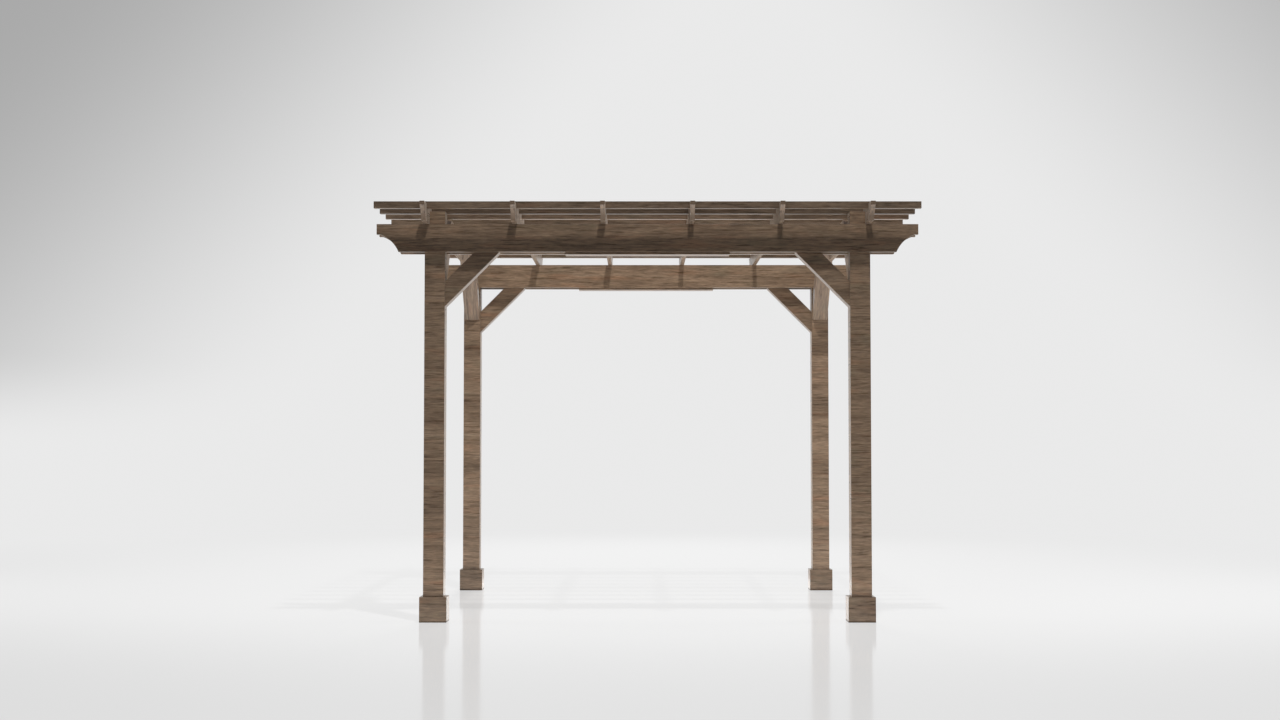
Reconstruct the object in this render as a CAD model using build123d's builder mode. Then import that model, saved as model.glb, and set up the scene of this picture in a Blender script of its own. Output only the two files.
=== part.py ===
"""An open timber pergola: four posts, two pairs of coved beams, braces, coved rafters and slats.

X runs along the beams, Y along the rafters and Z is up. The origin is on the ground, at the
middle of the plan. The front is at -Y and the left at -X.
"""
import os

from build123d import *

os.makedirs("parts", exist_ok=True)

# Driving dimensions, in millimetres
TIMBER_LENGTH = 3658  # every beam, rafter and slat
FRAME_SPAN = 3011  # outer side of the square that the posts stand on
POST_SIDE = 137
BEAM_BOTTOM = 2489
BEAM_HEIGHT = 188
BEAM_THICKNESS = 38
BEAM_NOSE = 70  # upright end of a beam, above its cove
BEAM_LIP = 24  # level stretch under the nose
BEAM_COVE_RUN = 124
HOUSING_DEPTH = 16  # how far a beam is let into a post
RAFTER_COUNT = 6
RAFTER_HEIGHT = 120
RAFTER_THICKNESS = 32
RAFTER_NOSE = 26
RAFTER_LIP = 6
RAFTER_COVE_RUN = 99
COVE_RADIUS = 212
SLAT_COUNT = 12
SLAT_PITCH = 301
SLAT_SIDE = 46
SLAT_NOTCH = 31  # how far a slat is let into the rafters
BRACE_SIDE = 120
CROSS_BRACE_REACH = 366  # under a beam, from the post's face to the brace's lower edge
DEPTH_BRACE_REACH = 542  # under the slats, from the post's face to the brace's lower edge
SPLICE_LENGTH = 1112
SPLICE_THICKNESS = 15
TRIM_HEIGHT = 169
TRIM_THICKNESS = 23

# Levels and centre lines that follow from them
BEAM_TOP = BEAM_BOTTOM + BEAM_HEIGHT
RAFTER_TOP = BEAM_TOP + RAFTER_HEIGHT
SLAT_BOTTOM = RAFTER_TOP - SLAT_NOTCH
POST_HEIGHT = SLAT_BOTTOM
POST_CENTRE = (FRAME_SPAN - POST_SIDE) / 2
POST_INNER_FACE = FRAME_SPAN / 2 - POST_SIDE
BEAM_OFFSET = POST_SIDE / 2 - HOUSING_DEPTH + BEAM_THICKNESS / 2
OUTER_RAFTER = (FRAME_SPAN - RAFTER_THICKNESS) / 2
RAFTER_SPACING = 2 * OUTER_RAFTER / (RAFTER_COUNT - 1)
BRACE_CUT = BRACE_SIDE * 2**0.5  # a brace's width, measured along its 45 degree end cut

ON_FLOOR = (Align.CENTER, Align.CENTER, Align.MIN)
SIDES = {"left": -1, "right": 1}
ENDS = {"front": -1, "back": 1}


def save(piece, name):
    """Labels a finished piece and writes its file."""
    piece.part.label = name
    export_step(piece.part, f"parts/{name}.step")
    print(name, round(piece.part.volume / 1000), "cm3")


def slat_lines():
    """The Y of each slat's centre line, from front to back."""
    return [(i - (SLAT_COUNT - 1) / 2) * SLAT_PITCH for i in range(SLAT_COUNT)]


def make_post(name, x_side, y_side):
    """A square post, housed for the two beams that clasp it and for the outer rafter."""
    x, y = x_side * POST_CENTRE, y_side * POST_CENTRE
    housing_y = (POST_SIDE - HOUSING_DEPTH) / 2
    with BuildPart() as post:
        with Locations((x, y, 0)):
            Box(POST_SIDE, POST_SIDE, POST_HEIGHT, align=ON_FLOOR)
        with Locations((x, y - housing_y, BEAM_BOTTOM), (x, y + housing_y, BEAM_BOTTOM)):
            Box(POST_SIDE, HOUSING_DEPTH, BEAM_HEIGHT, align=ON_FLOOR, mode=Mode.SUBTRACT)
        with Locations((x_side * OUTER_RAFTER, y, BEAM_TOP)):
            Box(RAFTER_THICKNESS, POST_SIDE, RAFTER_HEIGHT, align=ON_FLOOR, mode=Mode.SUBTRACT)
    save(post, name)


def make_trim_faces(name, x_side, y_side):
    """The two full-width boards on the front and back of a post's foot."""
    gap = (POST_SIDE + TRIM_THICKNESS) / 2
    x, y = x_side * POST_CENTRE, y_side * POST_CENTRE
    with BuildPart() as faces:
        with Locations((x, y - gap, 0), (x, y + gap, 0)):
            Box(POST_SIDE + 2 * TRIM_THICKNESS, TRIM_THICKNESS, TRIM_HEIGHT, align=ON_FLOOR)
    save(faces, name)


def make_trim_sides(name, x_side, y_side):
    """The two boards on the left and right of a post's foot, between the full-width ones."""
    gap = (POST_SIDE + TRIM_THICKNESS) / 2
    x, y = x_side * POST_CENTRE, y_side * POST_CENTRE
    with BuildPart() as sides:
        with Locations((x - gap, y, 0), (x + gap, y, 0)):
            Box(TRIM_THICKNESS, POST_SIDE, TRIM_HEIGHT, align=ON_FLOOR)
    save(sides, name)


def coved_board(plane, height, thickness, nose, lip, cove_run):
    """A board along the plane's X, with its lower edge on it and a hollow cove under each end."""
    half = TIMBER_LENGTH / 2
    with BuildPart() as board:
        with BuildSketch(plane):
            with BuildLine():
                top = Line((0, height), (half, height))
                end = Line(top @ 1, (half, height - nose))
                under_nose = Line(end @ 1, (half - lip, height - nose))
                cove = RadiusArc(under_nose @ 1, (half - lip - cove_run, 0), -COVE_RADIUS)
                Line(cove @ 1, (0, 0))
                mirror(about=Plane.YZ)
            make_face()
        extrude(amount=thickness / 2, both=True)
    return board


def make_beam(name, y):
    """One board of a beam pair."""
    plane = Plane(origin=(0, y, BEAM_BOTTOM), x_dir=(1, 0, 0), z_dir=(0, -1, 0))
    beam = coved_board(plane, BEAM_HEIGHT, BEAM_THICKNESS, BEAM_NOSE, BEAM_LIP, BEAM_COVE_RUN)
    save(beam, name)


def make_rafter(name, x):
    """A rafter, notched from above for the slats."""
    plane = Plane(origin=(x, 0, BEAM_TOP), x_dir=(0, 1, 0), z_dir=(1, 0, 0))
    blank = coved_board(
        plane, RAFTER_HEIGHT, RAFTER_THICKNESS, RAFTER_NOSE, RAFTER_LIP, RAFTER_COVE_RUN
    )
    with BuildPart() as rafter:
        add(blank.part)
        with Locations(*[(x, y, SLAT_BOTTOM) for y in slat_lines()]):
            Box(RAFTER_THICKNESS, SLAT_SIDE, SLAT_NOTCH, align=ON_FLOOR, mode=Mode.SUBTRACT)
    save(rafter, name)


def make_slat(name, y):
    """A square slat across the rafters."""
    with BuildPart() as slat:
        with Locations((0, y, SLAT_BOTTOM)):
            Box(TIMBER_LENGTH, SLAT_SIDE, SLAT_SIDE, align=ON_FLOOR)
    save(slat, name)


def make_splice(name, y_side):
    """The plate under the middle of a beam pair."""
    with BuildPart() as splice:
        with Locations((0, y_side * POST_CENTRE, BEAM_BOTTOM - SPLICE_THICKNESS)):
            Box(SPLICE_LENGTH, POST_SIDE, SPLICE_THICKNESS, align=ON_FLOOR)
    save(splice, name)


def square_brace(plane, reach):
    """A brace at 45 degrees. The plane's origin is on the post's face, level with the brace's top cut."""
    with BuildPart() as brace:
        with BuildSketch(plane):
            with BuildLine():
                Polyline((0, -reach), (reach, 0), (reach - BRACE_CUT, 0), (0, BRACE_CUT - reach), close=True)
            make_face()
        extrude(amount=BRACE_SIDE / 2, both=True)
    return brace


def make_cross_brace(name, x_side, y_side):
    """A brace from a post to the beam pair above it."""
    plane = Plane(
        origin=(x_side * POST_INNER_FACE, y_side * POST_CENTRE, BEAM_BOTTOM),
        x_dir=(-x_side, 0, 0),
        z_dir=(0, x_side, 0),
    )
    save(square_brace(plane, CROSS_BRACE_REACH), name)


def make_depth_brace(name, x_side, y_side):
    """A brace that rises beside the outer rafter to the slats, rebated where it laps the rafter."""
    plane = Plane(
        origin=(x_side * POST_CENTRE, y_side * POST_INNER_FACE, SLAT_BOTTOM),
        x_dir=(0, -y_side, 0),
        z_dir=(-y_side, 0, 0),
    )
    blank = square_brace(plane, DEPTH_BRACE_REACH)
    with BuildPart() as brace:
        add(blank.part)
        with Locations((x_side * OUTER_RAFTER, 0, BEAM_TOP)):
            Box(RAFTER_THICKNESS, FRAME_SPAN, RAFTER_HEIGHT, align=ON_FLOOR, mode=Mode.SUBTRACT)
    save(brace, name)


for end, y_side in ENDS.items():
    for side, x_side in SIDES.items():
        corner = f"{end}_{side}"
        make_post(f"{corner}_post", x_side, y_side)
        make_trim_faces(f"{corner}_foot_faces", x_side, y_side)
        make_trim_sides(f"{corner}_foot_sides", x_side, y_side)
        make_cross_brace(f"{corner}_cross_brace", x_side, y_side)
        make_depth_brace(f"{corner}_depth_brace", x_side, y_side)
    make_beam(f"{end}_outer_beam", y_side * (POST_CENTRE + BEAM_OFFSET))
    make_beam(f"{end}_inner_beam", y_side * (POST_CENTRE - BEAM_OFFSET))
    make_splice(f"{end}_splice_plate", y_side)

for i in range(RAFTER_COUNT):
    make_rafter(f"rafter_{i + 1}", -OUTER_RAFTER + i * RAFTER_SPACING)

for i, y in enumerate(slat_lines()):
    make_slat(f"slat_{i + 1:02d}", y)
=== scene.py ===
"""Timber garden pergola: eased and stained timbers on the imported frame, a pale studio floor,
soft light, and the camera of the photograph. Metres, with the frame's own axes."""

from math import pi, radians
from random import Random

import bmesh
import bpy
from mathutils import Matrix, Vector


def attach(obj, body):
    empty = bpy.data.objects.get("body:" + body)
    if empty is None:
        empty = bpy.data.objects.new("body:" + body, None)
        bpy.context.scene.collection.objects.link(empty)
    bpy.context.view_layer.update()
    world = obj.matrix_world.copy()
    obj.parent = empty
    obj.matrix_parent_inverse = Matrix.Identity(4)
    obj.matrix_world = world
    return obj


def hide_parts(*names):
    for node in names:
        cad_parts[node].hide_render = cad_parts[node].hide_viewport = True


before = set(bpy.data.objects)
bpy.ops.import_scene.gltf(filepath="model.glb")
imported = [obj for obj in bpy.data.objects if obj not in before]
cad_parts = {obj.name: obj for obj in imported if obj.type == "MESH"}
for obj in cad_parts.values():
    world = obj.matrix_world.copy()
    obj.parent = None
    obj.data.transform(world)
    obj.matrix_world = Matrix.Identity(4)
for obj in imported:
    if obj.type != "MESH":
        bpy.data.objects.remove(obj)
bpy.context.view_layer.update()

ENDS = ("front", "back")
SIDES = ("left", "right")
X_AXIS = Vector((1, 0, 0))
Y_AXIS = Vector((0, 1, 0))
Z_AXIS = Vector((0, 0, 1))

# The timbers' shapes and the chances in their looks
EASED_EDGE = 0.0012  # radius of a timber's eased arrises
EASING_STEPS = 2
SHARP_ABOVE = radians(40)
MERGED_WITHIN = 1e-5  # corners of the CAD mesh that are this close are one
FLAT_WITHIN = radians(0.5)  # and faces that turn less than this are one
SEED = 11
GRAIN_REACH = 40  # a timber's grain starts somewhere in so many metres, on each axis
PITH_ASIDE = (-0.05, 0.05)  # where the middle of the growth rings lies, from the middle of the timber
PITH_BELOW = (-0.09, -0.03)
CHANCE_TONE = (0.95, 1.05)

# How far a face has to look along an axis, out of 1, to count as such a face
CUT_END = 0.7
LEVEL_UNDERSIDE = 0.9
COVE = 0.2
NOT_UPRIGHT = 0.4
LOOKS_ASIDE = 0.6

COVE_PAINTED_LIGHT = 1.3  # painted light: the rafters' coves, which face down, are drawn paler, as if lit from below
SLAT_UNDERSIDE_PAINTED_LIGHT = 1.3  # painted light: the slats' undersides are drawn paler too, as if lit from below
ARRIS_TONE = 0.75  # the arrises are drawn darker
TONES = {  # timbers drawn paler or darker than the rest
    "slat_01": 0.85,
    "slat_02": 0.62,
    "slat_04": 0.87,
    "front_outer_beam": 1.04,
    "back_inner_beam": 1.14,
    "front_left_post": 1.07,
    "front_right_post": 1.15,
    "back_right_post": 1.03,
    "front_left_foot_faces": 0.88,
    "front_right_foot_faces": 0.81,
    "back_left_foot_faces": 0.73,
    "back_right_foot_faces": 0.8,
}

# Long grain. Each noise has its cells in a metre along, across and into the timber, then its detail, its
# roughness and how far it is shifted
SWAY_NOISE = ((1.1, 5.0, 5.0), 2.0, 0.55, 0.0)
SWAY = 0.02  # how far the lines of the grain wander
LINE_NOISES = {  # these follow the wandering lines
    "bands": ((1.0, 15.0, 9.0), 3.0, 0.55, 0.0),
    "streaks": ((5.2, 72.0, 20.0), 4.0, 0.62, 3.0),
    "flecks": ((16.0, 150.0, 30.0), 3.0, 0.6, 31.0),
    "fibres": ((14.0, 420.0, 40.0), 3.0, 0.7, 5.0),
    "checks": ((2.2, 90.0, 15.0), 5.0, 0.6, 7.0),
}
PATCH_NOISES = {  # and these don't
    "red": ((2.4, 16.0, 6.0), 2.0, 0.55, 11.0),
    "green": ((3.0, 9.0, 6.0), 2.0, 0.55, 17.0),
    "mottle": ((4.5, 30.0, 20.0), 3.0, 0.55, 23.0),
}
STAIN_STEPS = (  # noise, where the step starts and where it is full, strength, and the colour mixed in
    ("bands", 0.52, 0.74, 0.3, "Pale"),
    ("bands", 0.5, 0.34, 0.3, "Dark"),
    ("streaks", 0.53, 0.68, 0.42, "Pale"),
    ("streaks", 0.48, 0.34, 0.62, "Dark"),
)
TINT_STEPS = (  # noise, where the step starts and where it is full, strength, and the tint
    ("red", 0.52, 0.75, 0.4, (1.25, 0.92, 0.78, 1)),
    ("green", 0.54, 0.76, 0.5, (0.8, 0.93, 0.92, 1)),
)
SHADE_STEPS = (  # noise, its low and high values, and how dark and how light they make the wood
    ("mottle", 0.25, 0.75, 0.82, 1.18),
    ("fibres", 0.25, 0.75, 0.8, 1.2),
    ("flecks", 0.3, 0.7, 0.72, 1.28),
)
CRACK_COLOUR = (0.02, 0.014, 0.01, 1)
CHECKS_OPEN = (0.35, 0.29)
CHECK_STRENGTH = 0.75
STREAK_HEIGHT = 0.5
FIBRE_HEIGHT = 0.25
CHECK_HEIGHT = -0.6
LEAST_ROUGHNESS = 0.2
ROUGHNESS_SPREAD = 0.2

# End grain, and the finish of the wood
RING_NOISE = ((1.0, 14.0, 14.0), 2.0)
RING_SWAY = 0.012
RING_TURNS = 1100.0  # radians in a metre, which gives a ring every 5.7 mm
LATE_WOOD = (0.1, 0.95)
LATE_WOOD_STRENGTH = 0.55
PORE_NOISE = ((1.0, 500.0, 500.0), 2.0)
PORE_SPREAD = 0.6
PORE_LEAST = 0.7
SPLIT_NOISE = ((14.0, 1.0, 1.0), 2.0)
SPLITS_OPEN = (0.33, 0.28)
SPLIT_STRENGTH = 0.8
WOOD_IOR = 1.4
SHEEN_ROUGHNESS = 0.5
SHEEN_TINT = (1.0, 0.9, 0.8, 1)
BUMP_STRENGTH = 0.2
BUMP_DEPTH = 0.001
STAINS = {  # brown, dark, pale and the amount of sheen, for each slot
    "post_wood": ((0.215, 0.145, 0.094), (0.068, 0.045, 0.029), (0.36, 0.262, 0.182), 0.09),
    "brace_wood": ((0.208, 0.14, 0.091), (0.078, 0.051, 0.033), (0.33, 0.24, 0.166), 0.09),
    "beam_wood": ((0.205, 0.138, 0.089), (0.076, 0.05, 0.032), (0.33, 0.238, 0.163), 0.09),
    "roof_wood": ((0.2, 0.136, 0.09), (0.074, 0.05, 0.033), (0.32, 0.234, 0.163), 0.15),
}

# The studio's floor and walls
BACKDROP_SEEN = (0.82, 0.82, 0.82)
FLOOR_HALF_SIDE = 150
FLOOR_DROP = 0.0005  # keeps the floor clear of the feet's undersides
FLOOR_PAINT = (0.84, 0.84, 0.84)
FLOOR_SEEN = (0.985, 0.985, 0.985)
FLOOR_EVENNESS = 0.72  # how much of the floor's tone stays the same in the object's shadow
FLOOR_GLOSS = 0.26
FLOOR_GLOSS_ROUGHNESS = 0.1
FLOOR_FADES = (3.0, 13.0)  # from the floor's own tone to the backdrop's, out from the middle
DIM_FLOOR_SEEN = (0.6, 0.6, 0.6)  # mixed in towards the front, where less light reaches
FLOOR_DIMS = (-0.5, -7.0)
FLOOR_DIM_STRENGTH = 0.4
DIM_WALL_SEEN = (0.4, 0.4, 0.4)  # at the upper left and right of the back wall, out of the lamps' reach
# Where the wall's tone falls off, as parts of the direction that one looks in
WALL_DIMS_LEFT = (0.2, 0.54)
WALL_DIMS_RIGHT = (0.3, 0.66)
WALL_DIMS_UPWARDS = (0.0, 0.05)
WALL_DIMS_FROM_SIDES = (0.7, 0.9)
WORLD_STRENGTH = 0.06
FLAG_Y = -16
FLAG_HALF_WIDTH = 18
FLAG_HEIGHT = 16
FLAG_SEEN = (0.22, 0.22, 0.22)
FLAG_FADES_SIDEWAYS = (5.0, 17.5)
FLAG_FADES_UP = (5.0, 15.5)

# Lamps and camera
LAMPS = {  # place, target, width, power, and whether reflections show it
    "key": ((0.8, -5.3, 10.7), (0, -0.5, 1.5), 0.4, 595, True),
    "back": ((0, 12, 6), (0, 0, 1.5), 5, 800, False),
    "left": ((-9, 0, 3), (0, 0, 1.6), 4, 250, False),
    "right": ((9, 0, 3), (0, 0, 1.6), 4, 250, False),
}
FLOOR_LIGHT_WIDTH = 6.4
FLOOR_LIGHT_LIFT = 0.01
FLOOR_LIGHTS = {  # strips of floor that light the timbers from below: front edge, back edge, brightness
    "front floor light": (-2.55, -1.45, 0.8),
    "middle floor light": (-1.45, 1.45, 1.05),
    "back floor light": (1.45, 2.55, 1.5),
}
CAMERA_PLACE = (-0.0504, -14.275, 1.1684)
CAMERA_TILT = radians(92.649)  # up from straight down
CAMERA_LENS = 53.33
CAMERA_SENSOR = 36.0


def add_node(tree, kind, place, **settings):
    """A node of that kind, with its properties set."""
    node = tree.nodes.new(kind)
    node.location = (220 * place[0], -170 * place[1])
    for name, value in settings.items():
        setattr(node, name, value)
    return node


def wire(tree, output, socket):
    """A link, written as output first."""
    tree.links.new(output, socket)


def mix_colours(tree, place, factor, first, second, blend="MIX"):
    """A colour mix. Each of factor, first and second is a socket or a plain value."""
    node = add_node(tree, "ShaderNodeMix", place, data_type="RGBA", blend_type=blend)
    for socket, value in ((node.inputs[0], factor), (node.inputs[6], first), (node.inputs[7], second)):
        if isinstance(value, bpy.types.NodeSocket):
            wire(tree, value, socket)
        else:
            socket.default_value = value
    return node.outputs[2]


def calculate(tree, place, operation, first, second=0.0, third=0.0):
    """A math node. Each value is a socket or a plain number."""
    node = add_node(tree, "ShaderNodeMath", place, operation=operation)
    for socket, value in zip(node.inputs, (first, second, third)):
        if isinstance(value, bpy.types.NodeSocket):
            wire(tree, value, socket)
        else:
            socket.default_value = value
    return node.outputs[0]


def scale_colour(tree, place, colour, amount):
    """The colour, made darker or lighter by the amount."""
    node = add_node(tree, "ShaderNodeVectorMath", place, operation="SCALE")
    wire(tree, colour, node.inputs[0])
    wire(tree, amount, node.inputs["Scale"])
    return node.outputs[0]


def stretched_noise(tree, place, vector, stretch, detail, roughness=0.55, shift=0.0):
    """Noise drawn out along the grain: stretch is the number of cells in a metre on each axis."""
    mapping = add_node(tree, "ShaderNodeMapping", place)
    mapping.inputs["Scale"].default_value = stretch
    mapping.inputs["Location"].default_value = (shift, 2 * shift, 3 * shift)
    wire(tree, vector, mapping.inputs["Vector"])
    noise = add_node(tree, "ShaderNodeTexNoise", (place[0] + 1, place[1]))
    noise.inputs["Scale"].default_value = 1.0
    noise.inputs["Detail"].default_value = detail
    noise.inputs["Roughness"].default_value = roughness
    wire(tree, mapping.outputs[0], noise.inputs["Vector"])
    return noise.outputs["Fac"]


def step_between(tree, place, value, low, high):
    """0 below low, 1 above high and smooth between them. High may be under low."""
    node = add_node(tree, "ShaderNodeMapRange", place, interpolation_type="SMOOTHSTEP", clamp=True)
    if high < low:
        low, high = high, low
        node.inputs["To Min"].default_value = 1.0
        node.inputs["To Max"].default_value = 0.0
    wire(tree, value, node.inputs["Value"])
    node.inputs["From Min"].default_value = low
    node.inputs["From Max"].default_value = high
    return node.outputs[0]


def new_group(name, inputs, outputs):
    """An empty shader group with these named sockets."""
    group = bpy.data.node_groups.new(name, "ShaderNodeTree")
    for label, kind in inputs:
        group.interface.new_socket(label, in_out="INPUT", socket_type=kind)
    for label, kind in outputs:
        group.interface.new_socket(label, in_out="OUTPUT", socket_type=kind)
    return group


FLOAT, COLOUR, VECTOR = "NodeSocketFloat", "NodeSocketColor", "NodeSocketVector"


def make_long_grain():
    """Sawn and weathered grain: X of the vector runs along it."""
    group = new_group(
        "long grain",
        [("Vector", VECTOR), ("Brown", COLOUR), ("Dark", COLOUR), ("Pale", COLOUR)],
        [("Colour", COLOUR), ("Height", FLOAT), ("Roughness", FLOAT)],
    )
    inside = add_node(group, "NodeGroupInput", (0, 0))
    out = add_node(group, "NodeGroupOutput", (12, 0))
    where = inside.outputs["Vector"]

    # The lines of the grain wander a little, so the point is pushed sideways first
    sway = stretched_noise(group, (1, 0), where, *SWAY_NOISE)
    sway = calculate(group, (3, 0), "MULTIPLY_ADD", sway, SWAY, -SWAY / 2)
    push = add_node(group, "ShaderNodeCombineXYZ", (4, 0))
    wire(group, sway, push.inputs["Y"])
    moved = add_node(group, "ShaderNodeVectorMath", (5, 0), operation="ADD")
    wire(group, where, moved.inputs[0])
    wire(group, push.outputs[0], moved.inputs[1])
    noises = {}
    for settings, point in ((LINE_NOISES, moved.outputs[0]), (PATCH_NOISES, where)):
        for name, noise in settings.items():
            noises[name] = stretched_noise(group, (1, 2 * len(noises) + 2), point, *noise)

    colour = inside.outputs["Brown"]
    for row, (name, start, full, strength, stain) in enumerate(STAIN_STEPS, 1):
        mask = step_between(group, (6, row), noises[name], start, full)
        mask = calculate(group, (7, row), "MULTIPLY", mask, strength)
        colour = mix_colours(group, (8, row), mask, colour, inside.outputs[stain])
    for row, (name, start, full, strength, tint) in enumerate(TINT_STEPS, 6):
        mask = step_between(group, (6, row), noises[name], start, full)
        mask = calculate(group, (7, row), "MULTIPLY", mask, strength)
        colour = mix_colours(group, (8, row), mask, colour, tint, blend="MULTIPLY")
    light = 1.0
    for row, (name, low, high, darkest, lightest) in enumerate(SHADE_STEPS, 9):
        shade = add_node(group, "ShaderNodeMapRange", (6, row))
        wire(group, noises[name], shade.inputs["Value"])
        shade.inputs["From Min"].default_value = low
        shade.inputs["From Max"].default_value = high
        shade.inputs["To Min"].default_value = darkest
        shade.inputs["To Max"].default_value = lightest
        light = calculate(group, (8, row), "MULTIPLY", light, shade.outputs[0])
    colour = scale_colour(group, (9, 1), colour, light)
    cracks = step_between(group, (6, 13), noises["checks"], *CHECKS_OPEN)
    mask = calculate(group, (7, 13), "MULTIPLY", cracks, CHECK_STRENGTH)
    wire(group, mix_colours(group, (10, 1), mask, colour, CRACK_COLOUR), out.inputs["Colour"])

    height = calculate(group, (9, 15), "MULTIPLY", noises["streaks"], STREAK_HEIGHT)
    height = calculate(group, (10, 15), "MULTIPLY_ADD", noises["fibres"], FIBRE_HEIGHT, height)
    height = calculate(group, (11, 15), "MULTIPLY_ADD", cracks, CHECK_HEIGHT, height)
    wire(group, height, out.inputs["Height"])
    roughness = calculate(group, (10, 17), "MULTIPLY", noises["streaks"], ROUGHNESS_SPREAD)
    roughness = calculate(group, (11, 17), "ADD", roughness, LEAST_ROUGHNESS)
    wire(group, roughness, out.inputs["Roughness"])
    return group


def make_end_grain():
    """Growth rings and drying cracks on a cut end. Y and Z of the vector lie in the cut."""
    group = new_group(
        "end grain",
        [("Vector", VECTOR), ("Brown", COLOUR), ("Dark", COLOUR)],
        [("Colour", COLOUR), ("Height", FLOAT)],
    )
    inside = add_node(group, "NodeGroupInput", (0, 0))
    out = add_node(group, "NodeGroupOutput", (8, 0))
    where = inside.outputs["Vector"]
    apart = add_node(group, "ShaderNodeSeparateXYZ", (1, 3))
    wire(group, where, apart.inputs[0])

    wobble = stretched_noise(group, (1, 1), where, *RING_NOISE)
    square = calculate(group, (2, 3), "MULTIPLY", apart.outputs["Y"], apart.outputs["Y"])
    square = calculate(group, (3, 3), "MULTIPLY_ADD", apart.outputs["Z"], apart.outputs["Z"], square)
    radius = calculate(group, (4, 3), "SQRT", square)
    ringed = calculate(group, (5, 3), "MULTIPLY_ADD", wobble, RING_SWAY, radius)
    ringed = calculate(group, (5, 4), "MULTIPLY", ringed, RING_TURNS)
    ringed = calculate(group, (6, 3), "SINE", ringed)
    late_wood = step_between(group, (6, 4), ringed, *LATE_WOOD)
    mask = calculate(group, (6, 5), "MULTIPLY", late_wood, LATE_WOOD_STRENGTH)
    colour = mix_colours(group, (7, 1), mask, inside.outputs["Brown"], inside.outputs["Dark"])

    angle = calculate(group, (4, 5), "ARCTAN2", apart.outputs["Z"], apart.outputs["Y"])
    spoke = add_node(group, "ShaderNodeCombineXYZ", (5, 6))
    wire(group, angle, spoke.inputs["X"])
    rays = stretched_noise(group, (5, 7), spoke.outputs[0], *SPLIT_NOISE)
    splits = step_between(group, (7, 7), rays, *SPLITS_OPEN)
    mask = calculate(group, (6, 6), "MULTIPLY", splits, SPLIT_STRENGTH)
    colour = mix_colours(group, (7, 2), mask, colour, CRACK_COLOUR)

    pores = stretched_noise(group, (1, 5), where, *PORE_NOISE)
    speckle = calculate(group, (6, 7), "MULTIPLY_ADD", pores, PORE_SPREAD, PORE_LEAST)
    wire(group, scale_colour(group, (7, 4), colour, speckle), out.inputs["Colour"])
    wire(group, calculate(group, (7, 5), "MULTIPLY_ADD", splits, -1.0, late_wood), out.inputs["Height"])
    return group


LONG_GRAIN = make_long_grain()
END_GRAIN = make_end_grain()


def make_stained_wood(name, brown, dark, pale, sheen):
    """Brown stained softwood, long grain on the faces and rings on the cut ends."""
    material = bpy.data.materials.new(name)
    material.use_nodes = True
    tree = material.node_tree
    shader = tree.nodes["Principled BSDF"]
    grain = add_node(tree, "ShaderNodeAttribute", (-6, 0), attribute_name="grain")
    cut = add_node(tree, "ShaderNodeAttribute", (-6, 2), attribute_name="cut_end")
    tone = add_node(tree, "ShaderNodeAttribute", (-6, 4), attribute_name="tone")

    long_grain = add_node(tree, "ShaderNodeGroup", (-4, 0), node_tree=LONG_GRAIN)
    end_grain = add_node(tree, "ShaderNodeGroup", (-4, 2), node_tree=END_GRAIN)
    for group in (long_grain, end_grain):
        wire(tree, grain.outputs["Vector"], group.inputs["Vector"])
        group.inputs["Brown"].default_value = (*brown, 1)
        group.inputs["Dark"].default_value = (*dark, 1)
    long_grain.inputs["Pale"].default_value = (*pale, 1)

    colour = mix_colours(tree, (-3, 0), cut.outputs["Fac"], long_grain.outputs["Colour"],
                         end_grain.outputs["Colour"])
    wire(tree, scale_colour(tree, (-2, 0), colour, tone.outputs["Fac"]), shader.inputs["Base Color"])
    wire(tree, long_grain.outputs["Roughness"], shader.inputs["Roughness"])
    shader.inputs["IOR"].default_value = WOOD_IOR
    shader.inputs["Sheen Weight"].default_value = sheen
    shader.inputs["Sheen Roughness"].default_value = SHEEN_ROUGHNESS
    shader.inputs["Sheen Tint"].default_value = SHEEN_TINT

    not_cut = calculate(tree, (-4, 4), "SUBTRACT", 1.0, cut.outputs["Fac"])
    long_height = calculate(tree, (-3, 3), "MULTIPLY", long_grain.outputs["Height"], not_cut)
    height = calculate(tree, (-2, 3), "MULTIPLY_ADD", end_grain.outputs["Height"], cut.outputs["Fac"],
                       long_height)
    bump = add_node(tree, "ShaderNodeBump", (-1, 3))
    bump.inputs["Strength"].default_value = BUMP_STRENGTH
    bump.inputs["Distance"].default_value = BUMP_DEPTH
    wire(tree, height, bump.inputs["Height"])
    wire(tree, bump.outputs[0], shader.inputs["Normal"])
    return material


WOOD = {slot: make_stained_wood(slot.replace("_", " "), *stain) for slot, stain in STAINS.items()}
dice = Random(SEED)


def write_attribute(mesh, name, kind, field, values):
    """One value for each face corner."""
    mesh.attributes.new(name, kind, "CORNER").data.foreach_set(field, values)


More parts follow.
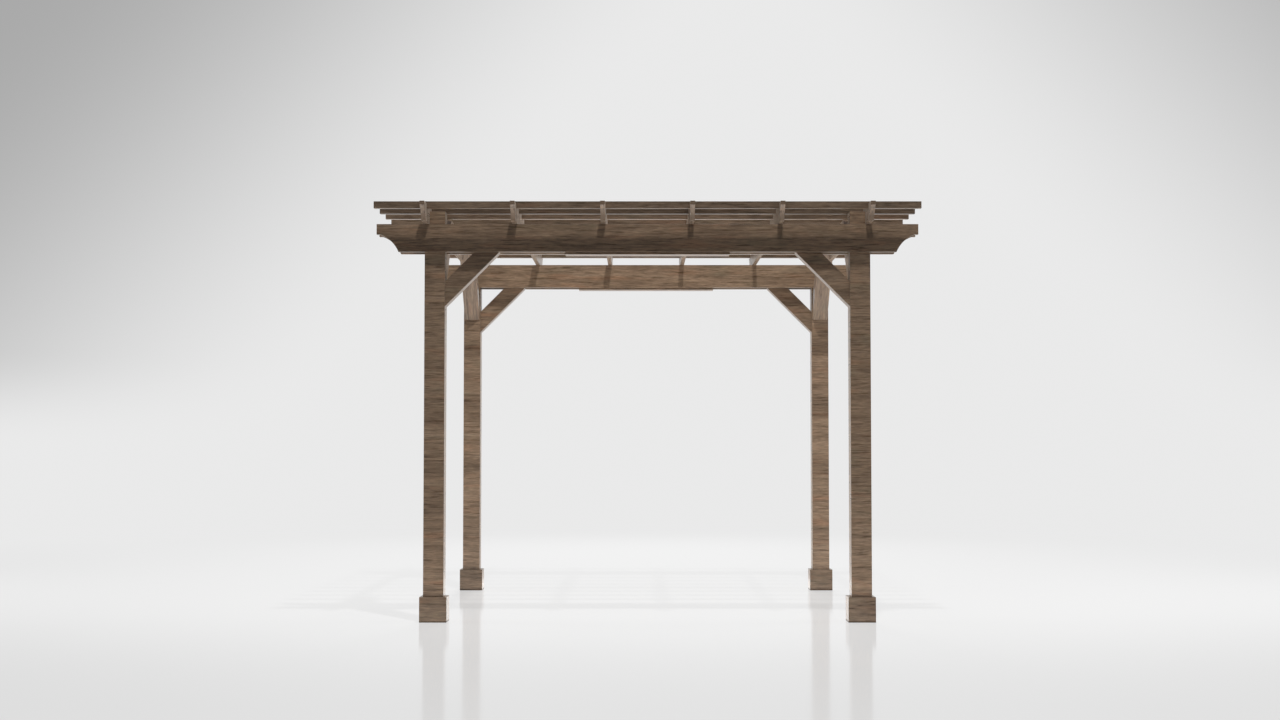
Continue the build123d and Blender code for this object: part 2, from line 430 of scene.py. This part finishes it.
def lay_grain(mesh, length_axis, cross_grained, own_tone, arrises, coved, painted_light_below):
    """Writes each face's tone, with painted light on the rafters' coves and the slats' undersides, and
    where its grain runs: X of the attribute is along it, Y across it and Z off the face. On a cut end, Y
    and Z are measured from the pith."""
    start = Vector([dice.uniform(0, GRAIN_REACH) for _ in range(3)])
    pith = Vector((0, dice.uniform(*PITH_ASIDE), dice.uniform(*PITH_BELOW)))
    tone = own_tone * dice.uniform(*CHANCE_TONE)
    centre = sum((v.co for v in mesh.vertices), Vector()) / len(mesh.vertices)
    points, ends, tones = [], [], []
    for face in mesh.polygons:
        normal = face.normal
        face_tone = tone
        if face.index in arrises:
            face_tone *= ARRIS_TONE
        # painted light: the down-facing coves of the rafters and the undersides of the slats are drawn
        # paler, as if lit from below
        elif coved and normal.z < -COVE and abs(normal.y) > COVE:
            face_tone *= COVE_PAINTED_LIGHT
        elif painted_light_below and normal.z < -LEVEL_UNDERSIDE:
            face_tone *= SLAT_UNDERSIDE_PAINTED_LIGHT
        at_end = abs(normal.dot(length_axis)) > CUT_END
        if at_end:
            across = X_AXIS if abs(normal.x) < LOOKS_ASIDE else Y_AXIS
            other = normal.cross(across)
        elif cross_grained and abs(normal.z) < NOT_UPRIGHT:
            along = Z_AXIS.cross(normal).normalized()
            across = Z_AXIS
        else:
            along = (length_axis - normal * length_axis.dot(normal)).normalized()
            across = normal.cross(along)
        for corner in face.loop_indices:
            place = mesh.vertices[mesh.loops[corner].vertex_index].co
            if at_end:
                offset = place - centre
                point = Vector((0, offset.dot(across), offset.dot(other))) + pith
            else:
                point = Vector((place.dot(along), place.dot(across), place.dot(normal))) + start
            points.extend(point)
            ends.append(1.0 if at_end else 0.0)
            tones.append(face_tone)
    write_attribute(mesh, "grain", "FLOAT_VECTOR", "vector", points)
    write_attribute(mesh, "cut_end", "FLOAT", "value", ends)
    write_attribute(mesh, "tone", "FLOAT", "value", tones)


def dress_timber(node, slot, length_axis, cross_grained=False):
    """A copy of a CAD timber with eased arrises and its own grain, which stands for the node."""
    work = bmesh.new()
    work.from_mesh(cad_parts[node].data)
    bmesh.ops.remove_doubles(work, verts=work.verts, dist=MERGED_WITHIN)
    bmesh.ops.dissolve_limit(work, angle_limit=FLAT_WITHIN, verts=work.verts, edges=work.edges)
    arrises = [e for e in work.edges if len(e.link_faces) == 2 and e.calc_face_angle() > SHARP_ABOVE]
    eased = bmesh.ops.bevel(work, geom=arrises, offset=EASED_EDGE, offset_type="OFFSET", affect="EDGES",
                            segments=EASING_STEPS, profile=0.5, material=-1, clamp_overlap=True)
    work.faces.index_update()
    arris_faces = {face.index for face in eased["faces"]}
    mesh = bpy.data.meshes.new(f"{node}_timber")
    work.to_mesh(mesh)
    work.free()
    mesh.polygons.foreach_set("use_smooth", [True] * len(mesh.polygons))
    mesh.set_sharp_from_angle(angle=SHARP_ABOVE)
    lay_grain(mesh, length_axis, cross_grained, TONES.get(node, 1.0), arris_faces,
              coved=node.startswith("rafter"), painted_light_below=node.startswith("slat"))
    mesh.materials.append(WOOD[slot])
    piece = bpy.data.objects.new(f"{node}_timber", mesh)
    bpy.context.scene.collection.objects.link(piece)
    even = piece.modifiers.new("even normals", "WEIGHTED_NORMAL")
    even.keep_sharp = True
    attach(piece, "root")
    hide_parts(node)


for end in ENDS:
    toward_middle = 1 if end == "front" else -1
    for side in SIDES:
        inward = 1 if side == "left" else -1
        corner = f"{end}_{side}"
        dress_timber(f"{corner}_post", "post_wood", Z_AXIS, cross_grained=True)
        dress_timber(f"{corner}_foot_faces", "post_wood", X_AXIS)
        dress_timber(f"{corner}_foot_sides", "post_wood", Y_AXIS)
        up_and_in = Vector((inward, 0, 1)).normalized()
        dress_timber(f"{corner}_cross_brace", "brace_wood", up_and_in, cross_grained=True)
        up_and_back = Vector((0, toward_middle, 1)).normalized()
        dress_timber(f"{corner}_depth_brace", "brace_wood", up_and_back)
    dress_timber(f"{end}_outer_beam", "beam_wood", X_AXIS)
    dress_timber(f"{end}_inner_beam", "beam_wood", X_AXIS)
    dress_timber(f"{end}_splice_plate", "beam_wood", X_AXIS)
for name in sorted(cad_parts):
    if name.startswith("rafter_"):
        dress_timber(name, "roof_wood", Y_AXIS)
    elif name.startswith("slat_"):
        dress_timber(name, "roof_wood", X_AXIS)


def camera_side_rays(tree, place):
    """1 for what the camera sees, straight or by reflection, and 0 for the light on the object."""
    rays = add_node(tree, "ShaderNodeLightPath", place)
    direct = calculate(tree, (place[0] + 1, place[1]), "MAXIMUM", rays.outputs["Is Camera Ray"],
                       rays.outputs["Is Glossy Ray"])
    return calculate(tree, (place[0] + 2, place[1]), "MAXIMUM", direct, rays.outputs["Is Transmission Ray"])


def blend_shaders(tree, place, factor, first, second):
    """A shader mix, with a socket or a plain number as its factor."""
    node = add_node(tree, "ShaderNodeMixShader", place)
    if isinstance(factor, bpy.types.NodeSocket):
        wire(tree, factor, node.inputs[0])
    else:
        node.inputs[0].default_value = factor
    wire(tree, first, node.inputs[1])
    wire(tree, second, node.inputs[2])
    return node.outputs[0]


def plain_glow(tree, place, colour):
    """A surface that shows this tone in any light."""
    node = add_node(tree, "ShaderNodeEmission", place)
    node.inputs["Color"].default_value = (*colour, 1)
    return node.outputs[0]


def make_sheet(name, half_width, half_depth, place, material):
    """One flat face of the stage, turned and moved to its place."""
    work = bmesh.new()
    bmesh.ops.create_grid(work, x_segments=1, y_segments=1, size=1)
    bmesh.ops.scale(work, vec=(half_width, half_depth, 1), verts=work.verts)
    bmesh.ops.transform(work, matrix=place, verts=work.verts)
    mesh = bpy.data.meshes.new(name)
    work.to_mesh(mesh)
    work.free()
    mesh.materials.append(material)
    sheet = bpy.data.objects.new(name, mesh)
    bpy.context.scene.collection.objects.link(sheet)
    return sheet


def start_material(name):
    """A material with nothing on its output yet."""
    material = bpy.data.materials.new(name)
    material.use_nodes = True
    material.node_tree.nodes.remove(material.node_tree.nodes["Principled BSDF"])
    return material


def make_floor():
    """A pale, slightly glossy studio floor, which runs into the backdrop without a line."""
    material = start_material("pale floor")
    tree = material.node_tree
    place = add_node(tree, "ShaderNodeTexCoord", (-8, 0))
    out_from_middle = add_node(tree, "ShaderNodeVectorMath", (-7, 0), operation="LENGTH")
    wire(tree, place.outputs["Object"], out_from_middle.inputs[0])
    apart = add_node(tree, "ShaderNodeSeparateXYZ", (-7, 4))
    wire(tree, place.outputs["Object"], apart.inputs[0])

    matt = add_node(tree, "ShaderNodeBsdfDiffuse", (-5, 1))
    matt.inputs["Color"].default_value = (*FLOOR_PAINT, 1)
    gloss = add_node(tree, "ShaderNodeBsdfGlossy", (-5, 3))
    gloss.inputs["Color"].default_value = (1, 1, 1, 1)
    gloss.inputs["Roughness"].default_value = FLOOR_GLOSS_ROUGHNESS
    even = plain_glow(tree, (-5, 2), FLOOR_SEEN)
    near = blend_shaders(tree, (-4, 1), FLOOR_EVENNESS, matt.outputs[0], even)
    near = blend_shaders(tree, (-3, 1), FLOOR_GLOSS, near, gloss.outputs[0])
    in_front = step_between(tree, (-6, 4), apart.outputs["Y"], *FLOOR_DIMS)
    in_front = calculate(tree, (-5, 4), "MULTIPLY", in_front, FLOOR_DIM_STRENGTH)
    near = blend_shaders(tree, (-3, 4), in_front, near, plain_glow(tree, (-4, 5), DIM_FLOOR_SEEN))
    far_off = step_between(tree, (-4, 3), out_from_middle.outputs["Value"], *FLOOR_FADES)
    seen = blend_shaders(tree, (-2, 1), far_off, near, plain_glow(tree, (-3, 2), BACKDROP_SEEN))

    whole = blend_shaders(tree, (-1, 2), camera_side_rays(tree, (-5, 7)), matt.outputs[0], seen)
    wire(tree, whole, tree.nodes["Material Output"].inputs["Surface"])
    lowered = Matrix.Translation((0, 0, -FLOOR_DROP))
    make_sheet("studio_floor", FLOOR_HALF_SIDE, FLOOR_HALF_SIDE, lowered, material)


def make_flag():
    """A dark screen behind the camera, which only reflections show, so that the fronts don't look milky."""
    material = start_material("dark cloth")
    tree = material.node_tree
    place = add_node(tree, "ShaderNodeTexCoord", (-6, 0))
    apart = add_node(tree, "ShaderNodeSeparateXYZ", (-5, 0))
    wire(tree, place.outputs["Object"], apart.inputs[0])
    sideways = calculate(tree, (-4, 0), "ABSOLUTE", apart.outputs["X"])
    to_side = step_between(tree, (-3, 0), sideways, *FLAG_FADES_SIDEWAYS)
    to_top = step_between(tree, (-3, 1), apart.outputs["Z"], *FLAG_FADES_UP)
    faded = calculate(tree, (-2, 0), "MAXIMUM", to_side, to_top)
    cloth = add_node(tree, "ShaderNodeEmission", (0, 0))
    tone = mix_colours(tree, (-1, 0), faded, (*FLAG_SEEN, 1), (*BACKDROP_SEEN, 1))
    wire(tree, tone, cloth.inputs["Color"])
    wire(tree, cloth.outputs[0], tree.nodes["Material Output"].inputs["Surface"])

    upright = Matrix.Translation((0, FLAG_Y, FLAG_HEIGHT / 2)) @ Matrix.Rotation(pi / 2, 4, "X")
    flag = make_sheet("dark_flag", FLAG_HALF_WIDTH, FLAG_HEIGHT / 2, upright, material)
    flag.visible_camera = False
    flag.visible_diffuse = False
    flag.visible_shadow = False
    flag.visible_transmission = False


def wall_tone(tree):
    """The backdrop's tone, which falls off softly to the upper left and right of the back wall."""
    direction = add_node(tree, "ShaderNodeTexCoord", (-10, 4))
    apart = add_node(tree, "ShaderNodeSeparateXYZ", (-9, 4))
    wire(tree, direction.outputs["Object"], apart.inputs[0])
    aside, away, up = apart.outputs
    up_and_left = calculate(tree, (-8, 4), "SUBTRACT", up, aside)
    up_and_right = calculate(tree, (-8, 5), "ADD", up, aside)
    to_left = step_between(tree, (-7, 4), up_and_left, *WALL_DIMS_LEFT)
    to_right = step_between(tree, (-7, 5), up_and_right, *WALL_DIMS_RIGHT)
    over_floor = step_between(tree, (-7, 6), up, *WALL_DIMS_UPWARDS)
    at_back = step_between(tree, (-7, 7), away, *WALL_DIMS_FROM_SIDES)
    dimmed = calculate(tree, (-6, 4), "MAXIMUM", to_left, to_right)
    dimmed = calculate(tree, (-5, 4), "MULTIPLY", dimmed, over_floor)
    dimmed = calculate(tree, (-4, 4), "MULTIPLY", dimmed, at_back)
    return mix_colours(tree, (-3, 4), dimmed, (*BACKDROP_SEEN, 1), (*DIM_WALL_SEEN, 1))


def make_surroundings():
    """Even light from all round, and a pale backdrop for the camera and for reflections."""
    world = bpy.data.worlds.new("studio")
    bpy.context.scene.world = world
    world.use_nodes = True
    tree = world.node_tree
    around = tree.nodes["Background"]
    around.inputs["Color"].default_value = (1, 1, 1, 1)
    around.inputs["Strength"].default_value = WORLD_STRENGTH
    seen = add_node(tree, "ShaderNodeBackground", (-1, 2))
    wire(tree, wall_tone(tree), seen.inputs["Color"])
    is_seen = camera_side_rays(tree, (-3, 0))
    both = blend_shaders(tree, (1, 0), is_seen, around.outputs[0], seen.outputs[0])
    wire(tree, both, tree.nodes["World Output"].inputs["Surface"])


def make_lamp(name, place, target, size, power, shows_in_gloss):
    """A round studio lamp that faces the target."""
    data = bpy.data.lights.new(name, "AREA")
    data.shape = "DISK"
    data.size = size
    data.energy = power
    lamp = bpy.data.objects.new(name, data)
    lamp.location = place
    lamp.rotation_euler = (Vector(target) - Vector(place)).to_track_quat("-Z", "Y").to_euler()
    lamp.visible_camera = False
    lamp.visible_glossy = shows_in_gloss
    bpy.context.scene.collection.objects.link(lamp)
    return lamp


def make_floor_light(name, front, back, brightness):
    """A strip of floor that lights what is above it, as a bright studio floor does."""
    middle = (front + back) / 2
    power = brightness * pi * FLOOR_LIGHT_WIDTH * (back - front)
    place = Vector((0, middle, FLOOR_LIGHT_LIFT))
    lamp = make_lamp(name, place, place + Z_AXIS, FLOOR_LIGHT_WIDTH, power, True)
    lamp.rotation_euler = (pi, 0, 0)
    lamp.data.shape = "RECTANGLE"
    lamp.data.size_y = back - front


def make_camera():
    """The photograph's view: nearly level, from low down and far in front."""
    data = bpy.data.cameras.new("camera")
    data.lens = CAMERA_LENS
    data.sensor_width = CAMERA_SENSOR
    camera = bpy.data.objects.new("camera", data)
    camera.location = CAMERA_PLACE
    camera.rotation_euler = (CAMERA_TILT, 0, 0)
    bpy.context.scene.collection.objects.link(camera)
    bpy.context.scene.camera = camera


make_floor()
make_flag()
make_surroundings()
for name, lamp in LAMPS.items():
    make_lamp(name, *lamp)
for name, strip in FLOOR_LIGHTS.items():
    make_floor_light(name, *strip)
make_camera()
bpy.context.scene.view_settings.view_transform = "Standard"
